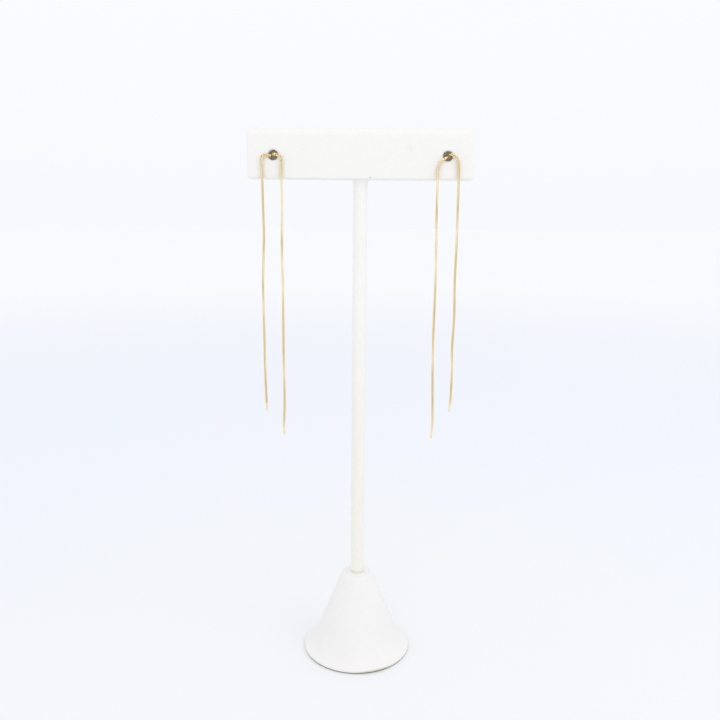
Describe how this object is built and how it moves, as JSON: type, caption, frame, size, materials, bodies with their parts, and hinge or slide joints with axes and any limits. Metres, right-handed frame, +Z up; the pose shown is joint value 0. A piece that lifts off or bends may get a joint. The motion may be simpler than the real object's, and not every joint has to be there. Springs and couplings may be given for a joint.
{
  "type": "pair of box chain threader earrings on a t-bar display stand",
  "caption": "Long fine box chain threader earrings, folded through pin holes in the padded bar of a slim T-bar display stand with a flared round base.",
  "frame": {"origin": "centre of the foot's underside, on the surface that the stand stands on", "axes": "+Z up, X along the bar, -Y towards the viewer on the side where the earrings hang"},
  "size_m": [0.079, 0.041, 0.198],
  "materials": {
    "leatherette": "soft white leatherette with a fine grain",
    "foot": "matt grey-brown card",
    "gold": "polished pale yellow gold"
  },
  "bodies": {
    "root": {"stand_foot": "foot", "stand_base": "leatherette", "stand_post": "leatherette", "stand_bar": "leatherette", "left_chain": "gold", "right_chain": "gold"}
  },
  "joints": []
}
